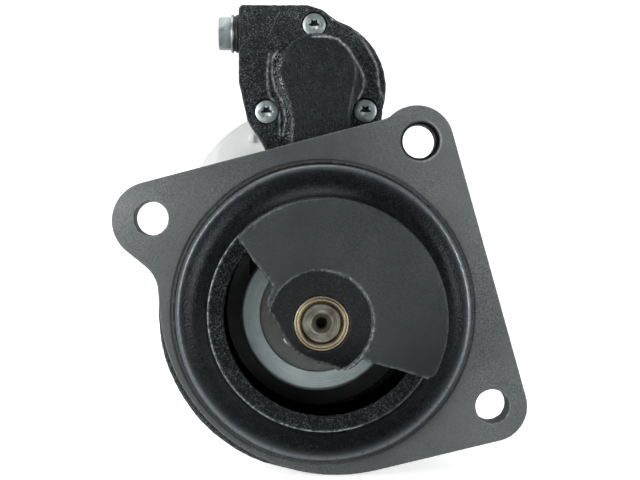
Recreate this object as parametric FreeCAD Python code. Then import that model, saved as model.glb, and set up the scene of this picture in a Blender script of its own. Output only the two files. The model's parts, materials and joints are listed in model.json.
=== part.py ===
import FreeCAD, Part
import os
import math

# Starter motor, pre-engaged, direct drive. Millimetres.
# Origin: centre of the flange's mounting face, on the spigot axis.
# -Y points forward along the nose into the bell housing, +Y to the rear, +Z up to the solenoid.
# Places across the motor are (x, z) pairs.

# ---- driving dimensions ----
AXIS_X = -2.0                  # the armature and solenoid axes share this x
ORIGIN = (0, 0)
MIDPLANE = (AXIS_X, 0)
ARM = (AXIS_X, -1.1)           # armature and pinion axis
SOL = (AXIS_X, 93.6)           # solenoid axis
ARM_Z, SOL_Z = ARM[1], SOL[1]
RUN = 0.05                     # radial running clearance

FLANGE_T = 12.5
SPIGOT_R, SPIGOT_H = 57.15, 6.9
NOSE_R, NOSE_BASE_R, NOSE_IN_R, NOSE_LEN = 43.3, 44.2, 37.8, 46.0
NOSE_FILLET = 10.4             # between the nose and the spigot's face
NOSE_WALL_Y = -34.0            # rear side of the nose's front wall
WINDOW_Y = -18.0               # floor of the pinion window
CAVITY_R = 43.2
HOLES = [(-66.6, 36.3), (37.8, 66.5), (66.1, -37.1)]  # flange holes
STEPPED_HOLE = HOLES[1]
HOLE_R = 6.6
RIB_W = 5.0

YOKE_R, YOKE_IN_R, YOKE_Y0, YOKE_Y1 = 57.5, 52.0, 62.0, 160.0
CORE_Y0, CORE_Y1 = 88, 150     # armature core and pole bodies
POLE_Y = (CORE_Y0 + CORE_Y1) / 2
DIAGONALS = (45, 135, 225, 315)  # angles of the poles and of the brushes
SLOTS = 19                     # armature slots and commutator cuts
REAR_Y, BRACKET_Y1 = 200.0, 204.0
BOLT_R = 47.0                  # through bolts, distance from the armature axis

BUSH_RO, JOURNAL_R = 9.85, 7.5
SHAFT_R, CENTRE_R, REAR_R = 8.0, 9.0, 7.0  # under the pinion, centre bush and rear bush
PINION_Y0, PINION_Y1, PINION_BORE = -14.5, 5.2, 9.1
TIP_R, ROOT_R, TEETH = 16.0, 10.3, 10
CLUTCH_R, SHELL_Y1 = 28.8, 31.0

PIVOT_Y, PIVOT_Z, PIN_R = 42.0, 62.0, 4.0  # lever pivot
LEVER_DEG = 8.2                # lever lean at rest
SHOE_X, FORK_X = 24.7, 27.5    # inner and outer sides of the fork's arms, from the axis

SEAT_Y = 58.0                  # solenoid seat
SOL_R = 29.0
SCREWS = [(-2.5, 117.3), (-22.4, 80.9), (18.9, 81.3)]  # solenoid screws
LEAD_Y = 151                   # the lead's way into the yoke
EARTH = (50.0, 114.6)          # (y, z) of the earth bolt
SIDE_X = -34.3                 # face under the earth bolt's washers
EARTH_STACK = 3.1              # room for those washers

Vec = FreeCAD.Vector
Y_DIR = Vec(0, 1, 0)
os.makedirs("parts", exist_ok=True)


# ---- solids; y0 and y1 are the front and rear ends ----
def cyl(r, y0, y1, place=ARM):
    return Part.makeCylinder(r, y1 - y0, Vec(place[0], y0, place[1]), Y_DIR)


def cone(r0, r1, y0, y1, place=ARM):
    return Part.makeCone(r0, r1, y1 - y0, Vec(place[0], y0, place[1]), Y_DIR)


def ring(outer, inner, y0, y1, place=ARM):
    return cyl(outer, y0, y1, place).cut(cyl(inner, y0 - 1, y1 + 1, place))


def xcyl(r, x0, x1, y, z):
    return Part.makeCylinder(r, x1 - x0, Vec(x0, y, z), Vec(1, 0, 0))


def box(x0, x1, y0, y1, z0, z1, place=ORIGIN):
    corner = Vec(place[0] + x0, y0, place[1] + z0)
    return Part.makeBox(x1 - x0, y1 - y0, z1 - z0, corner)


def revolve(profile, place=ARM):
    """Turn (radius, y) points about Y; a pair of points is an arc's middle and end."""
    def at(point):
        return Vec(place[0] + point[0], point[1], place[1])

    first = last = at(profile[0])
    edges = []
    for item in profile[1:]:
        if isinstance(item[0], tuple):
            middle, end = at(item[0]), at(item[1])
            edges.append(Part.Arc(last, middle, end).toShape())
        else:
            end = at(item)
            edges.append(Part.makeLine(last, end))
        last = end
    edges.append(Part.makeLine(last, first))
    return Part.Face(Part.Wire(edges)).revolve(Vec(place[0], 0, place[1]), Y_DIR, 360)


def face(points):
    return Part.Face(Part.makePolygon(points + points[:1]))


def prism(points, y0, y1):
    return face([Vec(x, y0, z) for x, z in points]).extrude(Vec(0, y1 - y0, 0))


def outline(circles, y):
    """Closed wire round circles (x, z, radius, side), clockwise seen from the front.

    Side 1 is a convex corner, -1 a concave fillet.
    """
    pairs = list(zip(circles, circles[1:] + circles[:1]))
    normals = []  # of the tangent from each circle to the next
    for (x1, z1, r1, side1), (x2, z2, r2, side2) in pairs:
        length = math.hypot(x2 - x1, z2 - z1)
        cosine = max(-1.0, min(1.0, (side1 * r1 - side2 * r2) / length))
        sine = math.sqrt(1 - cosine * cosine)
        ux, uz = (x2 - x1) / length, (z2 - z1) / length
        normals.append((cosine * ux - sine * uz, cosine * uz + sine * ux))
    edges = []
    for i, ((x, z, r, side), (x2, z2, r2, side2)) in enumerate(pairs):
        nx, nz = normals[i]
        start = math.atan2(normals[i - 1][1], normals[i - 1][0])
        sweep = math.atan2(nz, nx) - start
        while side > 0 and sweep > 1e-9:
            sweep -= 2 * math.pi
        while side < 0 and sweep < -1e-9:
            sweep += 2 * math.pi
        arc = [Vec(x + side * r * math.cos(a), y, z + side * r * math.sin(a))
               for a in (start, start + sweep / 2, start + sweep)]
        edges.append(Part.Arc(*arc).toShape())
        line_end = Vec(x2 + side2 * r2 * nx, y, z2 + side2 * r2 * nz)
        if line_end.sub(arc[2]).Length > 1e-5:
            edges.append(Part.makeLine(arc[2], line_end))
    return Part.Wire(Part.__sortEdges__(edges))


def belt(circles, y0, y1):
    return Part.Face(outline(circles, y0)).extrude(Vec(0, y1 - y0, 0))


def hexagon(flats, y0, y1, place, turn=0.0):
    r = flats / math.sqrt(3)
    return prism([polar(r, 60 * k + turn, place) for k in range(6)], y0, y1)


# ---- places and operations ----
def arm(dx, dz=0.0):
    """Place offset from the armature axis."""
    return ARM[0] + dx, ARM[1] + dz


def polar(r, deg, place=ARM):
    """Place at an angle from +X towards +Z."""
    angle = math.radians(deg)
    return place[0] + r * math.cos(angle), place[1] + r * math.sin(angle)


def radial(distance, deg):
    """Start point and outward direction for a tool across the yoke at the poles' middle."""
    x, z = polar(1, deg, ORIGIN)
    out = Vec(x, 0, z)
    return Vec(ARM[0], POLE_Y, ARM[1]) + out * distance, out


def turned(shape, deg, place=ARM):
    """Copy turned about Y, from +X towards -Z: the opposite sense to polar."""
    copy = shape.copy()
    copy.rotate(Vec(place[0], 0, place[1]), Y_DIR, deg)
    return copy


def copies(shape, count, start=0.0):
    return [turned(shape, start + 360.0 / count * k) for k in range(count)]


def at_diagonals(shape):
    return [turned(shape, -a) for a in DIAGONALS]


def join(shape, *others):
    for other in others:
        shape = shape.fuse(other)
    return shape


def fuse(*shapes):
    """Join and merge the faces that run on."""
    return join(*shapes).removeSplitter()


def cut(shape, *tools):
    for tool in tools:
        shape = shape.cut(tool)
    return shape


def drill(shape, r, y0, y1, places):
    return cut(shape, *[cyl(r, y0, y1, place) for place in places])


def save(name, shape):
    solids = shape if isinstance(shape, list) else shape.Solids
    out = solids[0] if len(solids) == 1 else Part.makeCompound(solids)
    assert out.isValid(), name
    out.exportStep("parts/%s.step" % name)


def piece(build):
    """Decorator: build the piece and save it under the function's name."""
    save(build.__name__, build())
    return build


BOLTS = [arm(-BOLT_R), arm(BOLT_R)]
CAP_SCREWS = [arm(-18.0), arm(18.0)]

# ---- drive-end housing ----
# Outlines of (x, z, radius, side) circles.
FLANGE = [(-66.7, 35.4, 15.2, 1), (21.5, 82.6, 8.0, -1), (36.6, 66.0, 14.4, 1),
          (66.0, -37.1, 13.9, 1), (5.3, 5.3, 69.0, 1), (-77.3, 7.3, 13.3, -1)]
SEAT_PLATE = [(-32.0, 123.4, 2.0, 1), (-6.0, 118.2, 7.2, 1), (-2.5, 117.3, 7.0, 1),
              (-1.7, 92.6, 26.4, 1), (18.9, 81.3, 7.2, 1), (20.0, 48.0, 3.0, 1),
              (-18.0, 46.0, 3.0, 1), (-31.0, 63.5, 8.0, -1), (-22.6, 80.6, 8.3, 1),
              (-31.9, 93.5, 2.0, 1)]
BULGE_FRONT = [(-1.6, 95.6, 16.0, 1), (22.6, 78.0, 11.2, -1), (10.0, 48.0, 3.0, 1),
               (-9.3, 48.0, 3.0, 1), (-23.0, 77.5, 10.6, -1)]
BULGE_REAR = [(-0.3, 94.6, 17.9, 1), (23.4, 78.0, 10.4, -1)] + BULGE_FRONT[2:]
FLANK = [(-4.0, 93.0, 18.6, 1), (-26.6, 78.2, 9.2, -1), (-15.0, 48.0, 2.0, 1),
         (0.0, 48.0, 3.0, 1)]
# Pinion window, (x, z): its edge across the nose, then a border clear of the nose.
WINDOW = [
    (-31.8, 29.1), (-27.0, 22.3), (-23.2, 17.4), (-19.2, 11.8), (-20.6, 9.2), (-21.6, 6.7),
    (-20.6, 3.4), (-19.5, 1.0), (-17.4, -2.6), (-15.8, -5.8), (-13.9, -8.6), (-11.8, -10.9),
    (-9.6, -12.6), (-7.3, -13.7), (-4.0, -15.1), (-0.5, -15.9), (2.4, -17.1), (5.1, -17.9),
    (7.6, -17.5), (9.7, -16.5), (12.5, -13.7), (13.6, -14.4), (20.2, -16.4), (27.2, -18.2),
    (35.7, -21.0), (40.2, -18.8),
    (60, -20), (60, -70), (-70, -70), (-70, 40), (-40, 40)]


def spigot_and_nose():
    fillet_r, fillet_y = NOSE_BASE_R + NOSE_FILLET, -SPIGOT_H - NOSE_FILLET
    diagonal = NOSE_FILLET * math.sqrt(0.5)
    return revolve([
        (0, 6), (SPIGOT_R, 6), (SPIGOT_R, -5.2), ((56.7, -6.3), (55.7, -SPIGOT_H)),
        (fillet_r, -SPIGOT_H),
        ((fillet_r - diagonal, fillet_y + diagonal), (NOSE_BASE_R, fillet_y)),
        (NOSE_R, -45.5), (42.8, -NOSE_LEN), (0, -NOSE_LEN)], ORIGIN)


def flange_ribs():
    """Tapered ribs from the body out to each flange hole."""
    side = [Vec(x, y, -RIB_W / 2) for x, y in ((40, 12), (66, 12), (56, 40), (40, 40))]
    rib = face(side).extrude(Vec(0, 0, RIB_W))
    return [turned(rib, -math.degrees(math.atan2(z, x)), ORIGIN) for x, z in HOLES]


def housing_blank():
    body = revolve([(0, 8), (62.5, 8), (62.5, 14), ((58.9, 16.6), (57.6, 22)),
                    (YOKE_R, YOKE_Y0), (0, YOKE_Y0)])
    bulge = Part.makeLoft([outline(BULGE_FRONT, 24.0), outline(BULGE_REAR, 41.0)], True, True)
    return fuse(belt(FLANGE, 0.0, FLANGE_T), spigot_and_nose(), body,
                belt(SEAT_PLATE, 40.0, SEAT_Y), bulge, belt(FLANK, 34.0, 41.0),
                cyl(30.0, 50.0, SEAT_Y, (-1.7, 91.9)), *flange_ribs())


@piece
def drive_end_housing():
    # relief groove round the spigot, then the nose and clutch cavities
    housing = cut(housing_blank(), ring(59.3, SPIGOT_R, -0.5, 0.5, ORIGIN),
                  cyl(NOSE_IN_R, NOSE_WALL_Y, 13, ORIGIN), cyl(CAVITY_R, 12, 70))
    # lever slot, plunger bore and the lever seal's opening
    housing = cut(housing, box(-8.5, 8.5, 29, 57, 25, SOL_Z, MIDPLANE),
                  cyl(13.4, 28.5, 70, SOL),
                  box(-8.5, 8.5, 50, 70, 38, 64.0, MIDPLANE).cut(box(-60, 60, 58, 71, 52, 70)))
    # pinion window, bush bore and the shallow spot face round it
    housing = cut(housing, prism(WINDOW, -60, WINDOW_Y), cyl(BUSH_RO, -60, 0),
                  cyl(18.4, -60, -44.6, arm(-0.1, 0.3)))
    housing = drill(housing, HOLE_R, -1, 30, HOLES)
    housing = cut(housing, cyl(7.45, -1, 3.5, STEPPED_HOLE),
                  cone(8.05, 7.45, 0, 0.6, STEPPED_HOLE))
    for place in SCREWS:
        housing = cut(housing, cyl(5.35, 20, 45.5, place), cyl(3.05, 40, 70, place))
    housing = cut(housing, xcyl(PIN_R, -40, AXIS_X + 19, PIVOT_Y, PIVOT_Z),
                  xcyl(4.05, SIDE_X - 10, SIDE_X + 13, *EARTH))
    return drill(housing, 3.05, 42, 70, BOLTS).removeSplitter()


@piece
def nose_bush():
    bore = JOURNAL_R + RUN
    return revolve([(bore, NOSE_WALL_Y), (bore, -44.6), (8.3, -45.2), (8.75, -45.2),
                    (8.95, -44.9), (9.15, -45.2), (9.5, -45.2), (BUSH_RO, -44.9),
                    (BUSH_RO, NOSE_WALL_Y)])


# ---- armature ----
@piece
def armature_shaft():
    front = -44.2
    shaft = revolve([
        (0, front), (6.7, front), (JOURNAL_R, -43.4), (JOURNAL_R, -33.4), (SHAFT_R, -33.0),
        (SHAFT_R, 28.5), (9.8, 28.8), (9.8, 60), (CENTRE_R, 60.2), (CENTRE_R, 72.5),
        (11, 72.8), (11, 85.8), (12, 86), (12, 151), (10, 151.2), (10, 182.8),
        (REAR_R, 183), (REAR_R, 199), (6.4, 199.6), (0, 199.6)])
    # centre hole and a face groove in the front end
    shaft = cut(shaft, cone(3.6, 1.4, front, front + 2.4), cyl(1.4, -44, -37),
                ring(5.6, 5.0, -44.5, -43.9))
    spline_gap = box(SHAFT_R, 28.0, 28.3, 60.4, -2.5, 2.5, ARM)
    return cut(shaft, *copies(spline_gap, 6, 30))


@piece
def armature_core():
    slot = box(19.0, 36.0, CORE_Y0 - 1, CORE_Y1 + 1, -1.9, 1.9, ARM)
    return cut(ring(34.0, 12.0, CORE_Y0, CORE_Y1), *copies(slot, SLOTS))


@piece
def armature_winding():
    y0, y1 = 79, 156.6
    bar = box(19.2, 30.8, y0, y1, -1.8, 1.8, ARM)
    return fuse(ring(31.0, 17.0, y0, CORE_Y0 - 0.2), ring(31.0, 17.0, CORE_Y1 + 0.2, y1),
                *copies(bar, SLOTS))


@piece
def commutator():
    blank = ring(19.0, 10.0, 159.6, 181.5).fuse(ring(24.0, 10.0, 156.8, 159.6))
    gap = box(17.2, 26, 156, 182, -0.35, 0.35, ARM)
    return cut(blank, *copies(gap, SLOTS, 180.0 / SLOTS))


@piece
def rear_thrust_washer():
    return ring(9.6, 7.1, 183.1, 184.3)


@piece
def rear_bush():
    return ring(10.0, REAR_R + RUN, 184.5, 198.5)


# ---- drive: clutch, sleeve and pinion ----
@piece
def pinion():
    # half a tooth, (radius, half thickness), root to tip
    flank = [(9.5, 3.9), (11.2, 3.4), (13.6, 2.2), (TIP_R - 0.1, 1.0)]
    points = [arm(r, -half) for r, half in flank] + [arm(TIP_R)]
    points += [arm(r, half) for r, half in reversed(flank)]
    tooth = prism(points, PINION_Y0, PINION_Y1)
    gear = join(cyl(ROOT_R, PINION_Y0, PINION_Y1), cyl(15.0, 5.0, 9.0), cyl(16.0, 8.8, 28.3),
                *copies(tooth, TEETH))
    return gear.cut(cyl(PINION_BORE, -20, 40)).removeSplitter()


@piece
def pinion_bushes():
    return [ring(PINION_BORE, SHAFT_R + RUN, y0, y1) for y0, y1 in ((-13.8, -2.0), (16.0, 27.8))]


@piece
def clutch_cover():
    return revolve([(22.6, 5.9), (23.0, 5.5), (30.0, 5.5), (30.4, 5.9), (30.4, 33.0),
                    (28.9, 33.0), (28.9, 7.0), (22.6, 7.0)])


@piece
def clutch_washer():
    return ring(CLUTCH_R, 15.3, 7.1, 8.6)


@piece
def clutch_shell():
    return ring(CLUTCH_R, 20.2, 8.8, SHELL_Y1)


@piece
def clutch_rollers():
    return [cyl(2.05, 10, 28, polar(18.1, 60 * k)) for k in range(6)]


@piece
def drive_sleeve():
    sleeve = cyl(CLUTCH_R, SHELL_Y1, 34.0).fuse(cyl(13.0, 33, 60)).cut(cyl(8.5, 30, 61))
    groove = box(6.4, 10.0, 30, 61, -2.6, 2.6, ARM)
    # splines, snap ring groove and front counterbore
    return cut(sleeve, *copies(groove, 6), ring(14, 12.2, 57.9, 59.1), cyl(9.95, 30, 32.5))


@piece
def meshing_spring():
    """Three closed coils joined by two short links."""
    r = 15.4
    y0, y1, y2 = 35.4, 39.3, 43.2
    coils = [Part.makeTorus(r, 1.0, Vec(ARM[0], y, ARM[1]), Y_DIR) for y in (y0, y1, y2)]
    return fuse(*coils, cyl(0.8, y0, y1, polar(r, 10)), cyl(0.8, y1, y2, polar(r, 130)))


@piece
def guide_ring():
    return revolve([(13.05, 44.5), (24.0, 44.5), (24.0, 47.0), (17.0, 47.0), (17.0, 55.0),
                    (24.0, 55.0), (24.0, 57.5), (13.05, 57.5)])


@piece
def sleeve_snap_ring():
    return ring(15.2, 12.3, 58.0, 59.0).cut(box(-2, 2, 57, 60, 0, 20, ARM))


# ---- lever ----
@piece
def shift_lever():
    # rear edge of the blade, (y from the pivot, z), top to bottom; the front edge mirrors it
    edge = [(2.2, SOL_Z), (2.2, SOL_Z - 13), (6.5, PIVOT_Z + 4), (6.5, PIVOT_Z - 4),
            (4, ARM_Z + 31.5), (4, ARM_Z + 26)]
    edge += [(-y, z) for y, z in reversed(edge)]
    blade = face([Vec(AXIS_X - 3.5, PIVOT_Y + y, z) for y, z in edge]).extrude(Vec(7, 0, 0))
    y0, y1 = PIVOT_Y - 4, PIVOT_Y + 4
    lever = fuse(blade, xcyl(3.4, AXIS_X - 3.5, AXIS_X + 3.5, PIVOT_Y, SOL_Z),
                 xcyl(8.0, AXIS_X - 6.0, AXIS_X + 6.0, PIVOT_Y, PIVOT_Z),
                 box(-FORK_X, FORK_X, y0, y1, 26, 31.5, ARM),
                 box(-FORK_X, -SHOE_X, y0, y1, -5, 28, ARM),
                 box(SHOE_X, FORK_X, y0, y1, -5, 28, ARM))
    lever = lever.cut(xcyl(PIN_R + RUN, AXIS_X - 20, AXIS_X + 20, PIVOT_Y, PIVOT_Z))
    # round shoes inside the fork's arms
    lever = fuse(lever, xcyl(3.3, AXIS_X - SHOE_X, AXIS_X - 18.0, PIVOT_Y, ARM_Z),
                 xcyl(3.3, AXIS_X + 18.0, AXIS_X + SHOE_X, PIVOT_Y, ARM_Z))
    lever.rotate(Vec(AXIS_X, PIVOT_Y, PIVOT_Z), Vec(1, 0, 0), LEVER_DEG)
    return lever


@piece
def lever_pivot_pin():
    return xcyl(PIN_R, -17.0, 15.5, PIVOT_Y, PIVOT_Z)


@piece
def lever_seal():
    return box(-8.2, 8.2, 58.2, 61.8, 57.4, 63.0, MIDPLANE)


# ---- centre bearing, yoke and field ----
@piece
def intermediate_plate():
    plate = revolve([(11.5, 61.2), (16, 61.2), (16, 62.2), (51.8, 62.2), (51.8, 66),
                     (18, 66), (16, 72), (11.5, 72)])
    return drill(plate, 3.3, 60, 70, BOLTS)


@piece
def centre_bush():
    return ring(11.5, CENTRE_R + RUN, 61.4, 71.8)


def lead_cyl(r, z0, z1):
    """Upright cylinder where the motor lead enters the yoke."""
    return Part.makeCylinder(r, z1 - z0, Vec(AXIS_X, LEAD_Y, z0), Vec(0, 0, 1))


@piece
def yoke():
    tube = ring(YOKE_R, YOKE_IN_R, YOKE_Y0, YOKE_Y1)
    for a in DIAGONALS:
        tube = cut(tube, Part.makeCylinder(5.0, 20, *radial(48, a)),
                   Part.makeCone(5.0, 9.2, 4.2, *radial(YOKE_R - 4.0, a)))
    return tube.cut(lead_cyl(6.5, 45, 65))


@piece
def pole_screws():
    screws = []
    for a in DIAGONALS:
        screw = Part.makeCylinder(4.9, 12, *radial(43, a)).fuse(
            Part.makeCone(4.85, 8.65, 3.9, *radial(YOKE_R - 4.0, a)))
        socket = Part.makeCylinder(3.2, 4, *radial(YOKE_R - 2.6, a))
        screws.append(screw.cut(socket).common(cyl(YOKE_R - 0.1, 90, 150)))
    return screws


def sector(outer, inner, half, deg, y0, y1):
    """Part of a ring, half the angle each side of deg."""
    rim = [polar(outer * 1.6, deg + t) for t in (-half, -half / 3, half / 3, half)]
    return ring(outer, inner, y0, y1).common(prism([ARM] + rim, y0 - 1, y1 + 1))


@piece
def pole_shoes():
    return [fuse(sector(40.0, 35.0, 30, a, CORE_Y0 - 2, CORE_Y1 + 2),
                 sector(51.9, 39.5, 14, a, CORE_Y0, CORE_Y1)).cut(
                     Part.makeCylinder(5.0, 30, *radial(42.9, a))) for a in DIAGONALS]


@piece
def field_coils():
    return [sector(51.0, 40.4, 34, a, 79, 158.5).cut(
        sector(60, 38, 15.5, a, CORE_Y0 - 1, CORE_Y1 + 1)) for a in DIAGONALS]


# ---- commutator end ----
@piece
def commutator_end_housing():
    end = revolve([(0, REAR_Y), (53.5, REAR_Y), (55.8, 197), (56.4, 167), (YOKE_R, 165),
                   (YOKE_R, YOKE_Y1), (0, YOKE_Y1)])
    end = end.cut(cyl(51.5, 150, 194)).fuse(cyl(16, 184.4, 195)).cut(cyl(10.0, 180, 201))
    end = drill(end, 3.3, 150, 210, BOLTS)
    end = drill(end, 1.55, 190, 201, CAP_SCREWS)
    return end.cut(box(-4, 4, 185, 197.5, -60, -50, ARM)).removeSplitter()


@piece
def brush_plate():
    return drill(ring(43.0, 21.0, 181.7, 183.5), 2.05, 180, 185, [arm(0, 36), arm(0, -36)])


@piece
def brush_boxes():
    return at_diagonals(box(22.0, 38.4, 161.0, 181.6, -5.6, 5.6, ARM).cut(
        box(20, 45, 162.9, 179.1, -4.1, 4.1, ARM)))


# brush_1 to brush_4, hollowed to the commutator
BRUSH = box(17.0, 34.0, 163.0, 179.0, -4.0, 4.0, ARM).cut(cyl(19.1, 150, 190))
for number, brush in enumerate(at_diagonals(BRUSH), 1):
    save("brush_%d" % number, brush)


@piece
def brush_springs():
    coil = ring(4.2, 2.6, 167.5, 174.5, arm(41.3, -9.9))
    return at_diagonals(fuse(box(38.9, 39.4, 168, 174, -6.8, 3.0, ARM), coil))


@piece
def rear_cap():
    cap = revolve([(0, 206.5), (11.5, 206.5), (14.0, 204.5), (14.4, 202.4), (22.0, 202.4),
                   (22.0, 200.1), (12.5, 200.1), (12.3, 203.6), (10.8, 205.0), (0, 205.0)])
    return drill(cap, 1.7, 199, 204, CAP_SCREWS)


@piece
def cap_screws():
    return [cut(join(cyl(1.5, 193, 202.5, place), cyl(3.0, 202.4, 204.2, place)),
                box(-4, 4, 203.5, 205, -0.4, 0.4, place)) for place in CAP_SCREWS]


# ---- rear support bracket, held by the through bolts ----
@piece
def rear_support_bracket():
    y0, y1 = REAR_Y - 1, BRACKET_Y1 + 1
    plate = belt([(-5.0, 34.0, 62.6, 1), (*ARM, 54.5, 1)], REAR_Y, BRACKET_Y1)
    plate = drill(plate.cut(cyl(28.0, y0, y1)), 3.3, y0, y1, BOLTS)
    plate = drill(plate, 5.5, y0, y1, [(-24.5, 66.0), (24.0, 70.5)])
    plate = plate.cut(belt([(-5.0, 62.0, 9.0, 1), (3.0, 62.0, 9.0, 1), (3.0, 52.0, 9.0, 1),
                            (-5.0, 52.0, 9.0, 1)], y0, y1))
    return fuse(plate, box(-33.4, -30.8, 195.0, 201.0, 77.6, 81.8))


@piece
def through_bolts():
    return [fuse(cyl(2.98, 46, 206, place), hexagon(10, 205.4, 209.8, place, 30))
            for place in BOLTS]


@piece
def through_bolt_washers():
    return [ring(6.2, 3.2, 204.1, 205.3, place) for place in BOLTS]


# ---- solenoid ----
SOL_CAP_SCREWS = [polar(24.0, 315, SOL), polar(24.0, 135, SOL)]
BATTERY, MOTOR = (AXIS_X, SOL_Z + 13.0), (AXIS_X, SOL_Z - 13.0)
TRIGGER = polar(16.4, 200, SOL)


@piece
def solenoid_case():
    case = ring(SOL_R, 26.5, SEAT_Y, 128, SOL).fuse(cyl(27.5, SEAT_Y, 66, SOL))
    case = drill(case.cut(cyl(10.7, 50, 70, SOL)), 3.05, 50, 64, SCREWS)
    return case.cut(ring(40, 28.3, 121.0, 123.0, SOL)).removeSplitter()


@piece
def coil_bobbin():
    return revolve([(10.7, 66.2), (26.2, 66.2), (26.2, 67.8), (12.2, 67.8), (12.2, 116.2),
                    (26.2, 116.2), (26.2, 118.0), (10.7, 118.0)], SOL)


@piece
def solenoid_winding():
    return ring(25.6, 12.3, 68.0, 116.0, SOL)


@piece
def solenoid_core():
    core = join(cyl(26.3, 118.2, 126.0, SOL), cyl(10.55, 97.6, 119, SOL))
    core = core.cut(cyl(2.6, 90, 130, SOL))
    return drill(core, 2.05, 119, 127, SOL_CAP_SCREWS).removeSplitter()


@piece
def plunger():
    # slotted for the lever's top, with a ring groove for the spring in its rear end
    return cut(join(cyl(10.6, 41.6, 88, SOL), cyl(9.0, 29.8, 42, SOL)),
               box(-12, 12, 33.4, 41.6, -14, 4.5, SOL),
               ring(7.0, 3.4, 78, 89, SOL)).removeSplitter()


@piece
def plunger_spring():
    r, wire_r, turns = 5.2, 0.7, 5
    y0, y1 = 78.1, 97.5
    height = y1 - y0 - 2 * wire_r
    pitch = height / turns
    path = Part.makeHelix(pitch, height, r)
    section = Part.Wire(Part.makeCircle(wire_r, Vec(r, 0, 0), Vec(0, 2 * math.pi * r, pitch)))
    spring = Part.Wire(path.Edges).makePipeShell([section], True, True)
    spring.rotate(Vec(0, 0, 0), Vec(1, 0, 0), -90)
    spring.translate(Vec(SOL[0], y0 + wire_r, SOL[1]))
    return spring


@piece
def contact_rod():
    return cyl(2.5, 94.5, 132.9, SOL)


@piece
def contact_bridge():
    """Disc cut to a strip with straight sides."""
    sides = box(-60, 60, 120, 140, -60, 60, SOL).cut(box(-9, 9, 120, 140, -60, 60, SOL))
    return cyl(17.0, 133.0, 136.0, SOL).cut(sides)


@piece
def solenoid_cap():
    cap = revolve([(0, 148.5), (20.5, 148.5), (23.5, 147.0), (28.3, 143.0), (28.6, 128.2),
                   (26.3, 128.2), (26.3, 126.2), (0, 126.2)], SOL)
    cap = join(cap, cyl(8.2, 140, 149.5, BATTERY), cyl(8.2, 140, 149.5, MOTOR),
               cyl(5.0, 140, 149.5, TRIGGER))
    cap = cut(cap, cyl(21.0, 120, 143.2, SOL), cyl(5.0, 140, 160, BATTERY),
              cyl(5.0, 140, 160, MOTOR), cyl(2.5, 140, 160, TRIGGER))
    for place in SOL_CAP_SCREWS:
        cap = cut(cap, cyl(2.05, 120, 160, place), cyl(4.2, 144.0, 160, place))
    return cap.removeSplitter()


def terminal(place, y1, groove_y):
    """Large stud with a groove near its rear end."""
    stud = cyl(7.5, 139, 143.1, place).fuse(cyl(4.95, 143, y1, place))
    return stud.cut(ring(6, 4.4, groove_y, groove_y + 1, place)).removeSplitter()


@piece
def battery_terminal():
    return terminal(BATTERY, 173, 158.8)


@piece
def motor_terminal():
    return terminal(MOTOR, 170, 161.3)


@piece
def trigger_terminal():
    stud = cyl(3.6, 139.5, 143.1, TRIGGER).fuse(cyl(2.45, 143, 161, TRIGGER))
    return stud.cut(ring(4, 2.0, 154.8, 155.6, TRIGGER)).removeSplitter()


@piece
def terminal_nuts():
    # across flats, bore radius, y0, y1, place, turn
    nuts = [(16, 5.0, 151.2, 158.5, BATTERY, 10), (16, 5.0, 154.4, 161.0, MOTOR, 25),
            (8, 2.5, 150.9, 154.5, TRIGGER, 5)]
    return [hexagon(flats, y0, y1, place, turn).cut(cyl(bore, y0 - 1, y1 + 1, place))
            for flats, bore, y0, y1, place, turn in nuts]


@piece
def terminal_washers():
    return [ring(9.5, 5.05, 149.6, 151.1, BATTERY), ring(9.0, 5.05, 149.6, 151.1, MOTOR),
            ring(4.8, 2.5, 149.6, 150.8, TRIGGER)]


@piece
def solenoid_cap_screws():
    return [cut(join(cyl(2.0, 119.5, 145, place), cyl(3.6, 144.05, 147.0, place)),
                box(-5, 5, 146.2, 148, -0.5, 0.5, place)) for place in SOL_CAP_SCREWS]


@piece
def motor_lead():
    # eye, strap down, step forward and stem into the yoke
    y0, y1 = 151.2, 154.3
    return fuse(ring(8.6, 5.05, y0, y1, MOTOR),
                box(-4.5, 4.5, y0, y1, 61.0, MOTOR[1] - 6.5, MIDPLANE),
                box(-4.5, 4.5, 147.0, y1, 58.9, 61.9, MIDPLANE), lead_cyl(3.9, 51.5, 60.0),
                box(-3.8, 3.8, 147.2, y1, 58.5, 61.5, MIDPLANE))


@piece
def lead_grommet():
    return lead_cyl(6.4, 51.6, 57.6).cut(lead_cyl(3.95, 48, 60))


# ---- fasteners seen from the front ----
def lobed_socket(place):
    lobes = [cyl(0.5, 40.0, 43.2, polar(1.8, 60 * k, place)) for k in range(6)]
    return join(cyl(1.65, 40.0, 43.2, place), *lobes)


@piece
def solenoid_screws():
    return [fuse(cyl(3.0, 44, 63.5, place), cyl(4.75, 40.6, 45.4, place),
                 cyl(4.3, 40.2, 41, place)).cut(lobed_socket(place)) for place in SCREWS]


@piece
def earth_bolt():
    """Built along Y with a chamfered head, then laid along X."""
    head_h = 5.2
    chamfer = cone(6.6, 9.6, -0.2, 2.8, ORIGIN).fuse(cyl(9.6, 2.5, 8.5, ORIGIN))
    head = hexagon(13, 0, head_h, ORIGIN).common(chamfer)
    head.rotate(Vec(0, 0, 0), Vec(0, 0, 1), -90)
    head.translate(Vec(SIDE_X - EARTH_STACK - head_h, *EARTH))
    return fuse(head, xcyl(3.98, SIDE_X - 4, SIDE_X + 11, *EARTH))


@piece
def earth_washers():
    x = SIDE_X - EARTH_STACK
    hole = xcyl(4.0, SIDE_X - 6, SIDE_X + 1, *EARTH)
    # radius, and the two faces' distances from the bolt's head
    return [xcyl(r, x + near, x + far, *EARTH).cut(hole)
            for r, near, far in ((8.0, 0.05, 1.1), (7.4, 1.15, 2.0), (8.0, 2.05, 3.05))]
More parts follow.
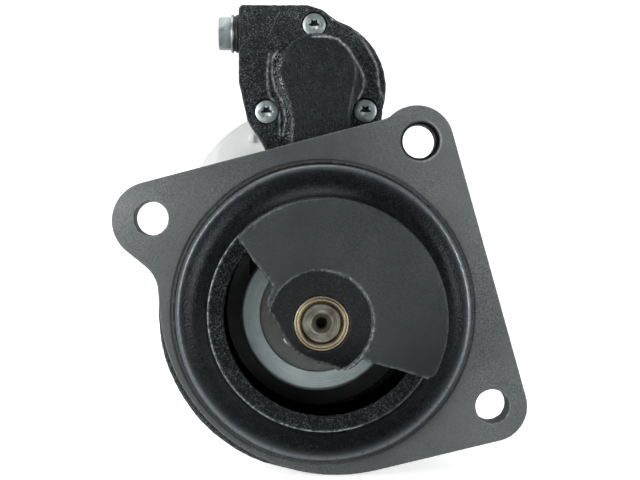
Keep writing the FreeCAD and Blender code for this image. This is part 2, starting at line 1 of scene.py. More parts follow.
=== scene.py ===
"""A starter motor with its solenoid, dressed over its CAD pieces.

The armature axis lies along Y with the drive end at the front (-Y); the solenoid lies above it (+Z).
Sizes and places are in millimetres unless a comment says metres; meshes are built in metres.
"""
import json
import math
from contextlib import contextmanager

import bmesh
import bpy
import numpy as np
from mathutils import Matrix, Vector


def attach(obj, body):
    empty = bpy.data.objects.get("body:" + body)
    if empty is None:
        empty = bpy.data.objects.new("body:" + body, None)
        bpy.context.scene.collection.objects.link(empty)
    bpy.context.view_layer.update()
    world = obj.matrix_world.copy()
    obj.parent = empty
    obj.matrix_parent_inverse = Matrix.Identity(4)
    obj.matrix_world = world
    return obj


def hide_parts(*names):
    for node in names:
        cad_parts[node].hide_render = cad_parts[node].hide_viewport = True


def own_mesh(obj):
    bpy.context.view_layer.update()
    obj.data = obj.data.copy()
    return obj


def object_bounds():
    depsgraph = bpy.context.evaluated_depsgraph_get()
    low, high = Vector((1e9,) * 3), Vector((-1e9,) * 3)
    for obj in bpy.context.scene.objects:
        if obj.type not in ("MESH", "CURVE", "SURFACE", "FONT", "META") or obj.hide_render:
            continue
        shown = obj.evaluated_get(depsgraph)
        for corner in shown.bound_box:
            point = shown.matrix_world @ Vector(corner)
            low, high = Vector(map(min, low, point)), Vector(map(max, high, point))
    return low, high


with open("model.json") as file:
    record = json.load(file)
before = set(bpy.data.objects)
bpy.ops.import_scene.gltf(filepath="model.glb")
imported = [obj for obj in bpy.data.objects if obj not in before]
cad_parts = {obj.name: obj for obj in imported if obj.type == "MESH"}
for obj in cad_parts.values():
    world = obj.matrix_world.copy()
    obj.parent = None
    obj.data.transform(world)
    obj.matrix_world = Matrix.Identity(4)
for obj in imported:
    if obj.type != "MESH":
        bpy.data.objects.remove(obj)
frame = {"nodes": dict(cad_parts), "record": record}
cad_lo, cad_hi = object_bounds()
NODES = frame["nodes"]
RECORD = frame["record"]
BODY = {node: body for body, nodes in RECORD["behaviour"]["bodies"].items() for node in nodes}
SLOT = {part["node"]: part["material_slot"] for part in RECORD["subparts"]}

MM = 0.001
ARMATURE_X, ARMATURE_Z = -2.0, -1.1
SOLENOID_X, SOLENOID_Z = -2.0, 93.6
EYE = (-16.4, -520.0, 34.9)  # camera place
VOXEL = 0.52  # grain of the housing mesh


# ---------------------------------------------------------------- shader node helpers
def tinted(colour, factor, lift=0.0):
    return tuple(min(1, channel * factor + lift) for channel in colour)


class Mat:
    """A Principled material, with short calls that add nodes and return their outputs."""

    def __init__(self, name):
        self.material = bpy.data.materials.new(name)
        self.material.use_nodes = True
        self.tree = self.material.node_tree
        self.bsdf = next(n for n in self.tree.nodes if n.type == "BSDF_PRINCIPLED")
        self.place = self.add("TexCoord").outputs["Object"]

    def feed(self, socket, value):
        """Sets a number or an RGB colour, or links an output."""
        if isinstance(value, (int, float)):
            socket.default_value = value
        elif isinstance(value, tuple):
            socket.default_value = (*value, 1)
        else:
            self.tree.links.new(value, socket)

    def add(self, kind, sockets=None, **settings):
        node = self.tree.nodes.new("ShaderNode" + kind)
        for key, value in settings.items():
            setattr(node, key, value)
        for key, value in (sockets or {}).items():
            self.feed(node.inputs[key], value)
        return node

    def noise(self, scale, detail=3.0, rough=0.5, vector=None):
        vector = self.place if vector is None else vector
        sockets = {"Scale": scale, "Detail": detail, "Roughness": rough, "Vector": vector}
        return self.add("TexNoise", sockets).outputs["Fac"]

    def cells(self, scale, output):
        return self.add("TexVoronoi", {"Scale": scale, "Vector": self.place}).outputs[output]

    def cell_random(self, scale, channel):
        """A random value for each cell, taken from one channel of its colour."""
        colour = self.cells(scale=scale, output="Color")
        return self.add("SeparateColor", {0: colour}).outputs[channel]

    def ramp(self, factor, stops):
        """Colour ramp; stops are {position: grey or RGB}."""
        node = self.add("ValToRGB", {"Fac": factor})
        elements = node.color_ramp.elements
        while len(elements) < len(stops):
            elements.new(0.5)
        for element, (position, colour) in zip(elements, stops.items()):
            element.position = position
            element.color = (*colour, 1) if isinstance(colour, tuple) else (*(colour,) * 3, 1)
        return node.outputs["Color"]

    def math(self, operation, a, b=0.0, clamp=False):
        return self.add("Math", {0: a, 1: b}, operation=operation, use_clamp=clamp).outputs[0]

    def times(self, a, b, clamp=False):
        return self.math("MULTIPLY", a, b, clamp)

    def weigh(self, first, *rest):
        """Sum of (output, weight) pairs."""
        term = self.times(*first)
        return self.math("ADD", term, self.weigh(*rest)) if rest else term

    def mix(self, factor, a, b):
        return self.add("Mix", {0: factor, 6: a, 7: b}, data_type="RGBA").outputs[2]

    def attribute(self, name):
        return self.add("Attribute", attribute_name=name).outputs["Fac"]

    def map_range(self, value, low, high):
        sockets = {"From Min": low, "From Max": high, "Value": value}
        return self.add("MapRange", sockets).outputs["Result"]

    def wear_and_highlight_edge(self, colour, light, amount, full):
        """Lightens convex edges, as wear and painted edge highlight; full is the pointiness where
        the lightening is complete.
        """
        pointiness = self.add("NewGeometry").outputs["Pointiness"]
        edge = self.map_range(pointiness, low=0.52, high=full)
        return self.mix(self.times(edge, amount), colour, light)

    def bump(self, height, strength, distance):
        sockets = {"Strength": strength, "Distance": distance, "Height": height}
        return self.add("Bump", sockets).outputs["Normal"]

    def from_axis(self, centre_x, centre_z):
        """X and Z measured in metres from an axis along Y, and plain Y."""
        xyz = self.add("SeparateXYZ", {0: self.place}).outputs
        across = self.math("SUBTRACT", xyz["X"], centre_x * MM)
        up = self.math("SUBTRACT", xyz["Z"], centre_z * MM)
        return across, up, xyz["Y"]

    def polar(self, per_radius, per_angle, per_y, centre=(ARMATURE_X, ARMATURE_Z)):
        """Scaled (radius, angle, y) about an axis along Y, for turned and brushed marks."""
        across, up, depth = self.from_axis(*centre)
        squares = self.math("ADD", self.times(across, across), self.times(up, up))
        radius = self.math("SQRT", squares)
        angle = self.math("ARCTAN2", up, across)
        return self.add("CombineXYZ", {
            0: self.times(radius, per_radius),
            1: self.times(angle, per_angle),
            2: self.times(depth, per_y)}).outputs[0]

    def finish(self, colour, rough, metal, normal=None, **more):
        sockets = {"Base Color": colour, "Roughness": rough, "Metallic": metal}
        if normal is not None:
            sockets["Normal"] = normal
        sockets.update({key.replace("_", " "): value for key, value in more.items()})
        for key, value in sockets.items():
            self.feed(self.bsdf.inputs[key], value)
        return self.material


# ---------------------------------------------------------------- materials
def casting_material():
    """Black paint over cast iron, steered by the fields stored on the housing's vertices."""
    m = Mat("black_cast_paint")
    machined, tone, grain = (m.attribute(n) for n in ("machined", "tone", "grain"))
    gloss, painted_glint_share, edge_wear_and_highlight, painted_highlight = (m.attribute(n) for n in ("gloss", "painted_glint_share", "edge_wear_and_highlight", "painted_highlight"))
    # gritty cast skin
    skin = m.weigh((m.noise(scale=300, detail=4, rough=0.55), 0.35),
                   (m.noise(scale=1150, detail=4, rough=0.62), 0.7),
                   (m.cells(scale=1150, output="Distance"), -0.6))
    cast_normal = m.bump(skin, strength=grain, distance=0.0011)
    # machined faces: fine arcs of tool marks under a dull thin coat
    around_origin = m.polar(per_radius=5200, per_angle=1.6, per_y=30, centre=(0, 0))
    arcs = m.noise(scale=1.0, rough=0.6, vector=around_origin)
    cloud = m.noise(scale=30, detail=4, rough=0.6)
    dust = m.noise(scale=1900, detail=2)
    cut_normal = m.bump(m.weigh((arcs, 0.6), (dust, 0.5)), strength=0.3, distance=0.00022)
    normal = m.add("Mix", {0: machined, 4: cast_normal, 5: cut_normal}, data_type="VECTOR")
    # base colour: the tone field, clouded, grainy in patches where machined
    clouding = m.ramp(m.weigh((cloud, 0.62), (arcs, 0.20), (dust, 0.18)),
                      {0.34: (0.72, 0.74, 0.74), 0.66: (1.08, 1.08, 1.08)})
    fleck = m.math("SUBTRACT", m.cell_random(scale=2700, channel="Green"), 0.5)
    patch = m.ramp(m.noise(scale=26), {0.40: 0.30, 0.62: 1.05})
    flecked = m.math("ADD", m.times(fleck, m.times(patch, machined)), 1.0)
    shaded = m.add("VectorMath", {0: clouding, 3: m.times(tone, flecked)}, operation="SCALE")
    hue = m.mix(machined, (0.86, 0.99, 1.07), (0.955, 1.0, 0.99))
    colour = m.add("VectorMath", {0: shaded.outputs[0], 1: hue}, operation="MULTIPLY").outputs[0]
    # painted glints on the grit: bright colour in scattered cells, standing in for highlights
    chance = m.weigh((m.cell_random(scale=3100, channel="Red"), 0.8), (m.noise(scale=210), 0.4))
    painted_glint = m.times(m.ramp(chance, {0.82: 0, 0.98: 1}), painted_glint_share, clamp=True)
    colour = m.mix(painted_glint, colour, (0.40, 0.44, 0.46))
    # edges lightened as bare-metal wear and painted edge highlight, and painted highlight lines,
    # both broken up
    broken = m.ramp(m.noise(scale=700), {0.38: 0.25, 0.62: 1})
    for field, amount, bare_metal_and_highlight in ((edge_wear_and_highlight, 0.75, (0.26, 0.28, 0.28)), (painted_highlight, 1.0, (0.42, 0.45, 0.46))):
        colour = m.mix(m.times(m.times(field, broken), amount, clamp=True), colour, bare_metal_and_highlight)
    cast_rough = m.ramp(m.noise(scale=420), {0.3: 0.24, 0.75: 0.40})
    cut_rough = m.ramp(m.noise(scale=120, detail=4), {0.3: 0.40, 0.7: 0.54})
    rough = m.mix(machined, cast_rough, cut_rough)
    return m.finish(colour, rough, metal=0.0, normal=normal.outputs[1],
                    Specular_IOR_Level=gloss, Specular_Tint=(0.93, 0.99, 1.02))


def turned(name, base, rough, metal=1.0, rings=5200, depth=0.25, stain=None):
    """Lathe-turned metal; rings is the fineness of the marks, depth their bump strength."""
    m = Mat(name)
    marks = m.noise(scale=1.0, rough=0.6,
                    vector=m.polar(per_radius=rings, per_angle=1.2, per_y=rings))
    blot = m.noise(scale=120, detail=4, rough=0.6)
    colour = m.ramp(m.weigh((marks, 0.5), (blot, 0.5)),
                    {0.32: tinted(base, 0.72), 0.68: tinted(base, 1.18)})
    if stain:
        colour = m.mix(m.ramp(m.noise(scale=60), {0.48: 0, 0.72: 0.55}), colour, stain)
    roughness = m.ramp(blot, {0.3: rough * 0.8, 0.7: rough * 1.25})
    colour = m.wear_and_highlight_edge(colour, tinted(base, 1.7), amount=0.3, full=0.58)
    return m.finish(colour, roughness, metal, m.bump(marks, strength=depth, distance=0.00015))


def shaft_material():
    """Turned steel; the journal's end face is darkened with old oil, and its centre hole is painted
    shade.
    """
    m = Mat("shaft_steel")
    marks = m.noise(scale=1.0, rough=0.6,
                    vector=m.polar(per_radius=5600, per_angle=0.9, per_y=2200))
    blot = m.noise(scale=160, detail=4, rough=0.6)
    steel = m.ramp(m.weigh((marks, 0.5), (blot, 0.5)),
                   {0.32: (0.24, 0.245, 0.245), 0.68: (0.42, 0.43, 0.43)})
    oily = m.ramp(m.weigh((marks, 0.6), (blot, 0.4)),
                  {0.36: (0.060, 0.052, 0.038), 0.5: (0.145, 0.138, 0.112),
                   0.66: (0.30, 0.29, 0.25)})
    across, up, depth = m.from_axis(ARMATURE_X, ARMATURE_Z)
    tip = m.map_range(depth, low=-0.0425, high=-0.0436)
    flat = m.add("CombineXYZ", {0: across, 1: up}).outputs[0]
    radius = m.add("VectorMath", {0: flat}, operation="LENGTH").outputs["Value"]
    # painted shade of the centre hole on the axis, in a ring of brown stain; 130 brings its radius
    # in metres into the ramps' range
    core = m.ramp(m.times(radius, 130.0), {0.40: 1, 0.49: 0})
    centre_stain_and_shade = m.ramp(m.times(radius, 130.0), {0.24: (0.020, 0.016, 0.012), 0.31: (0.16, 0.14, 0.11)})
    colour = m.mix(core, m.mix(tip, steel, oily), centre_stain_and_shade)
    return m.finish(colour, m.ramp(blot, {0.3: 0.26, 0.7: 0.42}), metal=0.95,
                    normal=m.bump(marks, strength=0.5, distance=0.0002))


def plated(name, base, rough=0.34, metal=0.9):
    m = Mat(name)
    mottle = m.noise(scale=240, detail=5, rough=0.6)
    fine = m.noise(scale=2300, rough=0.6)
    colour = m.ramp(mottle, {0.28: tinted(base, 0.74), 0.5: base, 0.75: tinted(base, 1.2)})
    colour = m.wear_and_highlight_edge(colour, (0.85, 0.87, 0.86), amount=0.35, full=0.60)
    roughness = m.ramp(mottle, {0.3: rough * 0.8, 0.7: rough * 1.3})
    height = m.math("ADD", mottle, m.times(fine, 0.5))
    return m.finish(colour, roughness, metal, m.bump(height, strength=0.12, distance=0.0002))


def painted(name, base, rough, grain=0.1, coat=0.0):
    m = Mat(name)
    peel = m.noise(scale=620)
    fine = m.noise(scale=2600, detail=2)
    colour = m.ramp(m.noise(scale=38, detail=4, rough=0.55),
                    {0.3: tinted(base, 0.86), 0.7: tinted(base, 1.1)})
    colour = m.wear_and_highlight_edge(colour, tinted(base, 1.6, lift=0.05), amount=0.18, full=0.60)
    roughness = m.ramp(m.noise(scale=160), {0.3: rough * 0.85, 0.7: rough * 1.2})
    height = m.weigh((peel, 0.8), (fine, 0.35))
    return m.finish(colour, roughness, metal=0.0, Coat_Weight=coat,
                    normal=m.bump(height, strength=grain, distance=0.0004))


def cast_aluminium(name, base):
    m = Mat(name)
    pitting = m.noise(scale=500, detail=5, rough=0.65)
    cloud = m.noise(scale=45, detail=4)
    colour = m.ramp(cloud, {0.3: tinted(base, 0.8), 0.7: base})
    colour = m.mix(m.ramp(pitting, {0.62: 0, 0.8: 0.5}), colour, tinted(base, 0.55))
    return m.finish(colour, m.ramp(cloud, {0.3: 0.42, 0.7: 0.6}), metal=0.75,
                    normal=m.bump(pitting, strength=0.3, distance=0.0004))


def wound(name, base):
    """Fine parallel strands of wire."""
    m = Mat(name)
    sockets = {"Scale": 420, "Distortion": 1.5, "Vector": m.place}
    strands = m.add("TexWave", sockets).outputs["Fac"]
    # painted shade: the colour darkens in the grooves between the strands
    colour = m.ramp(strands, {0.2: tinted(base, 0.35), 0.7: base})
    return m.finish(colour, rough=0.32, metal=0.85,
                    normal=m.bump(strands, strength=0.5, distance=0.0004))


def plastic(name, base, rough=0.45):
    m = Mat(name)
    fine = m.noise(scale=1600, detail=4, rough=0.6)
    colour = m.ramp(m.noise(scale=60), {0.3: tinted(base, 0.8), 0.7: tinted(base, 1.25)})
    roughness = m.ramp(fine, {0.3: rough * 0.85, 0.7: rough * 1.15})
    return m.finish(colour, roughness, metal=0.0,
                    normal=m.bump(fine, strength=0.25, distance=0.0002))


MATS = {
    "black_casting": casting_material(),
    "black_small": painted("black_lever_paint", (0.02, 0.021, 0.023), rough=0.4, grain=0.5),
    "bronze": turned("sintered_bronze", (0.385, 0.322, 0.222), rough=0.30, rings=6500,
                     stain=(0.13, 0.09, 0.05)),
    "turned_steel": turned("turned_steel", (0.34, 0.35, 0.345), rough=0.36),
    "zinc_plate": plated("zinc_plate", (0.29, 0.335, 0.34), rough=0.36),
    "dark_plate": plastic("dark_spring_washers", (0.010, 0.011, 0.011), rough=0.5),
    # painted shade inside the screw sockets, and a painted highlight on their lower walls
    "socket": plated("socket_painted_shade", (0.02, 0.023, 0.024), rough=0.30, metal=0.8),
    "socket_painted_glint": plated("socket_painted_highlight", (0.90, 0.92, 0.92), rough=0.5, metal=0.25),
    "shaft_steel": shaft_material(),
    "copper": plated("copper_metal", (0.55, 0.29, 0.17), rough=0.36),
    "wound": wound("enamelled_wire", (0.50, 0.21, 0.09)),
    "laminations": turned("laminated_iron", (0.16, 0.16, 0.165), rough=0.5, metal=0.8,
                          rings=9000, depth=0.4),
    "silver_paint": painted("silver_paint", (0.60, 0.61, 0.60), rough=0.38, coat=0.25),
    "cast_aluminium": cast_aluminium("die_cast_aluminium", (0.60, 0.61, 0.62)),
    "black_paint": painted("satin_black_paint", (0.014, 0.0145, 0.016), rough=0.34, grain=0.16,
                           coat=0.2),
    "black_plastic": plastic("black_moulding", (0.022, 0.022, 0.023)),
    "rubber": plastic("black_rubber", (0.012, 0.012, 0.012), rough=0.7),
    "brass": plated("brass_sheet", (0.62, 0.46, 0.2), rough=0.3),
    "carbon": plastic("brush_carbon", (0.03, 0.03, 0.031), rough=0.55),
    "clutch_zinc": turned("clutch_zinc", (0.335, 0.392, 0.388), rough=0.42, metal=0.85,
                          rings=4200, depth=0.10),
    "clutch_steel": turned("clutch_washer_steel", (0.105, 0.112, 0.105), rough=0.42, metal=0.9),
    "braid": wound("tinned_braid", (0.55, 0.36, 0.24)),
}
# slot reported for materials that are variants of another
# nodes whose material is a variant of their slot's
NODE_VARIANT = {
    "armature_winding": "wound", "field_coils": "wound", "solenoid_winding": "wound",
    "motor_lead": "braid", "shift_lever": "black_small", "armature_shaft": "shaft_steel"}


def material_of(node):
    return NODE_VARIANT.get(node, SLOT[node])


# ---------------------------------------------------------------- mesh helpers
@contextmanager
def editing(mesh):
    bm = bmesh.new()
    bm.from_mesh(mesh)
    yield bm
    bm.to_mesh(mesh)
    bm.free()


def add_object(name, data):
    ob = bpy.data.objects.new(name, data)
    bpy.context.scene.collection.objects.link(ob)
    return ob


def weld(mesh, distance):
    with editing(mesh) as bm:
        bmesh.ops.remove_doubles(bm, verts=bm.verts, dist=distance)
        bmesh.ops.recalc_face_normals(bm, faces=bm.faces)


def dress(ob, material, body, node, smooth):
    """Material, shading (edges under smooth degrees are soft) and body; replaces node."""
    mesh = ob.data
    mesh.materials.clear()
    mesh.materials.append(MATS[material])
    mesh.polygons.foreach_set("use_smooth", [True] * len(mesh.polygons))
    limit = math.radians(smooth)
    with editing(mesh) as bm:
        for edge in bm.edges:
            edge.smooth = len(edge.link_faces) == 2 and edge.calc_face_angle(0) < limit
    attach(ob, body)
    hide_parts(node)


def new_piece(name, verts, faces, material, body, node, smooth):
    mesh = bpy.data.meshes.new(name)
    mesh.from_pydata(verts, [], faces)
    mesh.validate()
    ob = add_object(name, mesh)
    weld(mesh, 1e-7)
    dress(ob, material, body, node, smooth)


def copy_node(node, name):
    ob = add_object(name, NODES[node].data.copy())
    weld(ob.data, 2e-6)
    return ob


def apply_modifiers(ob):
    graph = bpy.context.evaluated_depsgraph_get()
    graph.update()
    mesh = bpy.data.meshes.new_from_object(
        ob.evaluated_get(graph), preserve_all_data_layers=True, depsgraph=graph)
    ob.modifiers.clear()
    ob.data = mesh


def ring(centre_x, centre_z, y, radii):
    """Points in metres round an axis along Y, one for each radius."""
    step = 2 * math.pi / len(radii)
    return [((centre_x + radius * math.cos(step * k)) * MM, y * MM,
             (centre_z + radius * math.sin(step * k)) * MM) for k, radius in enumerate(radii)]


def round_corners(profile, size, steps=3):
    """Rounds each corner of a closed (radius, y) loop."""
    out = []
    for i, point in enumerate(profile):
        corner = np.array(point, float)
        back = np.array(profile[i - 1], float) - corner
        ahead = np.array(profile[(i + 1) % len(profile)], float) - corner
        back_length, ahead_length = np.linalg.norm(back), np.linalg.norm(ahead)
        cut = min(size, back_length * 0.45, ahead_length * 0.45)
        start = corner + back / back_length * cut
        end = corner + ahead / ahead_length * cut
        for k in range(steps + 1):
            t = k / steps
            out.append((1 - t) ** 2 * start + 2 * t * (1 - t) * corner + t * t * end)
    return out


def lathe(name, node, profile, material, body, rounding, segments):
    """Turns a closed (radius, y) profile about the armature axis."""
    points = round_corners(profile, rounding)
    verts, faces = [], []
    for i, (radius, y) in enumerate(points):
        verts += ring(ARMATURE_X, ARMATURE_Z, y, [radius] * segments)
        a, b = i * segments, (i + 1) % len(points) * segments
        for k in range(segments):
            k2 = (k + 1) % segments
            faces.append((a + k, a + k2, b + k2, b + k))
    new_piece(name, verts, faces, material, body, node, smooth=32)


# ---------------------------------------------------------------- drive-end housing: mesh
housing = copy_node("drive_end_housing", "housing_casting")
voxels = housing.modifiers.new("voxels", "REMESH")
voxels.mode = "VOXEL"
voxels.voxel_size = VOXEL * MM
voxels.adaptivity = 0.0
relax = housing.modifiers.new("relax", "SMOOTH")
relax.factor = 0.5
relax.iterations = 3
apply_modifiers(housing)


def vertex_vectors(key):
    values = np.empty(len(housing.data.vertices) * 3)
    housing.data.vertices.foreach_get(key, values)
    return values.reshape(-1, 3)


points = vertex_vectors("co") * 1000.0
normals = vertex_vectors("normal")
x, y, z = points.T
normal_y = normals[:, 1]
edge_ends = np.empty(len(housing.data.edges) * 2, int)
housing.data.edges.foreach_get("vertices", edge_ends)
end_a, end_b = edge_ends.reshape(-1, 2).T
COUNT = len(points)
neighbours = np.bincount(end_a, minlength=COUNT) + np.bincount(end_b, minlength=COUNT)


def around(values):
    """Mean of each vertex's neighbours."""
    return (np.bincount(end_a, weights=values[end_b], minlength=COUNT)
            + np.bincount(end_b, weights=values[end_a], minlength=COUNT)) / neighbours


def soften(values):
    return 0.5 * values + 0.5 * around(values)


def near(values, middle, reach):
    return np.abs(values - middle) < reach


def between(values, low, high):
    return (values > low) & (values < high)


def away(centre_x, centre_z):
    return np.hypot(x - centre_x, z - centre_z)


def slope(values, start, end):
    """0 at start, 1 at end, level beyond."""
    return np.clip((values - start) / (end - start), 0, 1)


def bell(distance, width):
    return np.exp(-(distance / width) ** 2)


def spot(centre_x, centre_z, size_x, size_z):
    return np.exp(-(((x - centre_x) / size_x) ** 2 + ((z - centre_z) / size_z) ** 2))


def layered(base, *layers):
    """A field that starts at base; each (region, value) is laid over those before."""
    field = np.full(COUNT, base, dtype=float)
    for region, value in layers:
        field[region] = np.broadcast_to(value, COUNT)[region]
    return field


def scaled(field, *layers):
    """Multiplies the field by each factor in its region."""
    for region, factor in layers:
        field[region] *= factor
    return field


def value_noise(cell_size, seed):
    table = np.random.RandomState(seed).rand(64, 64, 64)
    place = points / cell_size
    cell = np.floor(place).astype(int)
    fade = place - cell
    fade = fade * fade * (3 - 2 * fade)
    total = 0
    for corner in np.ndindex(2, 2, 2):
        weight = np.prod(np.where(corner, fade, 1 - fade), axis=1)
        total = total + weight * table[tuple(((cell + corner) % 64).T)]
    return total - 0.5


def roughness_of(*layers):
    """Sum of noises, each (cell size, seed, depth)."""
    return sum(value_noise(cell, seed) * depth for cell, seed, depth in layers)


def path_distance(px, pz, path):
    """Distance from points (px, pz) to a polyline."""
    best = np.full(len(px), 1e9)
    for (ax, az), (bx, bz) in zip(path[:-1], path[1:]):
        ux, uz = bx - ax, bz - az
        t = np.clip(((px - ax) * ux + (pz - az) * uz) / (ux * ux + uz * uz), 0, 1)
        best = np.minimum(best, np.hypot(px - ax - t * ux, pz - az - t * uz))
    return best


# positive on convex edges
curvature = -sum((around(points[:, k]) - points[:, k]) * normals[:, k] for k in range(3))
curvature = curvature * 4 / VOXEL ** 2
for _ in range(2):
    curvature = soften(curvature)

# ---------------------------------------------------------------- drive-end housing: regions
FLANGE_Y, NOSE_Y, SPOT_Y, RIM_Y = 0.0, -46.0, -44.6, -18.0  # faces that look forward
BULGE_Y = 24.0
SEAT_Y, PAD_Y = 58.0, 62.0  # faces that look back
GROOVE_Y = 0.5
SPIGOT_R, BORE_R, NOSE_R = 57.15, 37.8, 43.8
HOLES = [(-66.6, 36.3, 6.6), (37.8, 66.5, 8.05), (66.1, -37.1, 6.6)]  # x, z, mouth radius

radius = away(0, 0)
from_shaft = away(ARMATURE_X, ARMATURE_Z)
front = normal_y < -0.75
back = normal_y > 0.75
in_holes = np.any([away(hx, hz) < 7.9 for hx, hz, _ in HOLES], axis=0) & between(y, 0.4, 14)
flange = front & near(y, FLANGE_Y, 0.6) & (radius > 59.2)
nose = front & near(y, NOSE_Y, 0.6)
spot_face = front & near(y, SPOT_Y, 0.6) & (from_shaft < 19)
spigot = near(radius, SPIGOT_R, 0.6) & between(y, -7.2, 0.4)
bead = between(radius, 54.2, 57.6) & between(y, -7.6, -4.2)
cove = between(radius, 43.9, 54.4) & between(y, -17.6, -5.5)
rim_face = front & near(y, RIM_Y, 0.7) & between(radius, 37.0, 45.0)
nose_side = (y < -18.5) & near(radius, NOSE_R, 1.1)
inside = (radius < 38.4) & between(y, -33.5, 60) & ~rim_face
groove = between(y, -0.1, 1.0) & between(radius, 57.3, 59.2) & (normal_y < -0.3)
bulge_face = front & near(y, BULGE_Y, 0.8)
tower = (y > 20) & (z > 60)
tower_skin = tower & ~bulge_face
back_pad = back & near(y, PAD_Y, 0.6)
flange_edge = between(y, 0.8, 11.7) & (radius > 60) & (np.abs(normal_y) < 0.4)
front_corner = between(y, -0.5, 2.4) & (radius > 59.2) & ~flange & ~in_holes
lip = between(radius, 43.9, 57.9) & between(y, -17.6, -3.6)
foot = between(y, -0.4, 1.1) & between(radius, 58.1, 60.2)
inner_corner = between(y, -0.6, 1.1) & between(radius, 56.6, 58.1)
flange_root = between(y, -0.4, 1.1) & between(radius, 56.9, 60.2)
seat = (away(SOLENOID_X, SOLENOID_Z) < 31) & near(y, SEAT_Y, 0.6) & back

# ---------------------------------------------------------------- drive-end housing: shape
machined = layered(
    0.0, (flange, 1.0), (nose, 0.85), (spot_face, 0.95), (flange_root, 1.0), (in_holes, 0.7),
    (front_corner, 1.0), (spigot, 0.8), (back_pad, 0.8))
grain = layered(
    0.85 * (1.0 - machined), (cove, 0.13), (bead | spigot, 0.10), (bulge_face, 0.30),
    (nose_side, 0.5), (tower_skin, 0.95))
# true machined planes and cylinders
flat_y = layered(y, (flange, FLANGE_Y), (nose, NOSE_Y), (groove, GROOVE_Y),
                 (spot_face, SPOT_Y), (seat, SEAT_Y))
shaped = np.stack([x, flat_y, z], 1)
for true_radius, wall in (
        (SPIGOT_R, near(radius, SPIGOT_R, 0.4) & between(y, -4.9, -0.2)),
        (BORE_R, near(radius, BORE_R, 0.45) & between(y, -33.5, 12.0))):
    shaped[wall, 0] *= true_radius / radius[wall]
    shaped[wall, 2] *= true_radius / radius[wall]
# cast skin: unevenness and grit in the surface itself
skin = scaled(roughness_of((9.0, 1, 0.28), (2.6, 2, 0.16), (1.1, 3, 0.24)) * grain, (inside, 0.4))

# raised casting ridges beside the lever bulge and round the seat:
# height, width, brightness of the painted highlight line along it, path of (x, z)
RIDGES = [
    (0.9, 0.75, 0.84, [
        (-21.2, 105.0), (-21.9, 100.3), (-22.0, 92.0), (-21.0, 86.9), (-18.0, 83.6),
        (-16.9, 78.4), (-16.9, 71.2)]),
    (1.1, 0.8, 0.9, [
        (-17.7, 106.0), (-19.8, 103.0), (-20.0, 96.2), (-18.6, 90.0), (-15.5, 84.8),
        (-14.4, 77.5), (-15.5, 70.9)]),
    (0.40, 0.5, 1.0, [
        (-3.2, 112.0), (2.0, 112.3), (7.3, 111.4), (11.9, 107.4), (14.6, 102.9), (17.2, 98.0),
        (18.4, 94.6), (18.0, 90.5), (16.2, 87.0), (15.4, 84.0)]),
    (0.5, 0.5, 1.0, [
        (4.8, 119.6), (8.5, 118.6), (12.4, 116.6), (16.2, 112.9), (19.5, 108.1), (22.5, 103.0),
        (24.0, 98.4), (24.1, 94.2), (24.8, 90.0), (26.3, 86.9), (27.3, 83.8)]),
]
# band of painted highlight and painted glints right of the first two ridges, (x, z)
GLINT_BAND_PATH = [(-18.2, 103.6), (-18.2, 96.3), (-16.6, 89.0), (-14.1, 82.7), (-13.1, 75.4), (-13.4, 71.2)]
RIDGE_PLANE_Y = 40.0  # the paths are drawn on this plane, as seen from EYE
LINE_WIDTH, GLINT_BAND_WIDTH = 0.38, 1.9
shrink = (RIDGE_PLANE_Y - EYE[1]) / (y - EYE[1])
seen_x = EYE[0] + (x - EYE[0]) * shrink
seen_z = EYE[2] + (z - EYE[2]) * shrink
raised = (normal_y < -0.25) & between(y, 24.8, 52)
lined = (normal_y < 0.4) & between(y, 24.0, 54) & (z > 62)
painted_highlight = np.zeros(COUNT)
for height, width, brightness, path in RIDGES:
    distance = path_distance(seen_x, seen_z, path)
    shaped[:, 1] -= bell(distance, width) * raised * height
    painted_highlight = np.maximum(painted_highlight, brightness * bell(distance, LINE_WIDTH) * lined)
glint_band = bell(path_distance(seen_x, seen_z, GLINT_BAND_PATH), GLINT_BAND_WIDTH) * lined

# ragged flash left along the window's edge
flash = between(y, -47, -19.5) & (radius < 44.6) & (curvature > 0.22) & ~near(radius, 43.3, 1.0)
flash &= (from_shaft > 11.5) & (np.abs(radius - BORE_R) > 1.6)
skin = skin + np.where(flash, roughness_of((0.9, 5, 0.75), (2.2, 6, 0.5)), 0.0)
shaped = shaped + normals * skin[:, None]
housing.data.vertices.foreach_set("co", (shaped / 1000.0).ravel())
housing.data.update()

# ---------------------------------------------------------------- drive-end housing: paint fields
# painted light and shade on the flange: lighter to the right and at the tip of the left ear, darker
# at the top and below
painted_flange_light = (1.15 + 0.45 * slope(x, 20, 65) + 0.9 * spot(-80, 44, 15, 15)
         - 0.75 * spot(-14, 66, 40, 20) - 0.2 * slope(z, 0, -40))
# painted highlight along the lip's bead, wider to the right and below
angle = np.arctan2(z, x)
wide = np.clip(np.maximum(np.cos(angle), -np.sin(angle)), 0, 1)
painted_lip_highlight = 0.8 * bell(radius - 56.4, 0.95) + (0.16 + 0.42 * wide) * bell(radius - 56.6, 2.1)
spot_shade = slope(z, -5, -15)

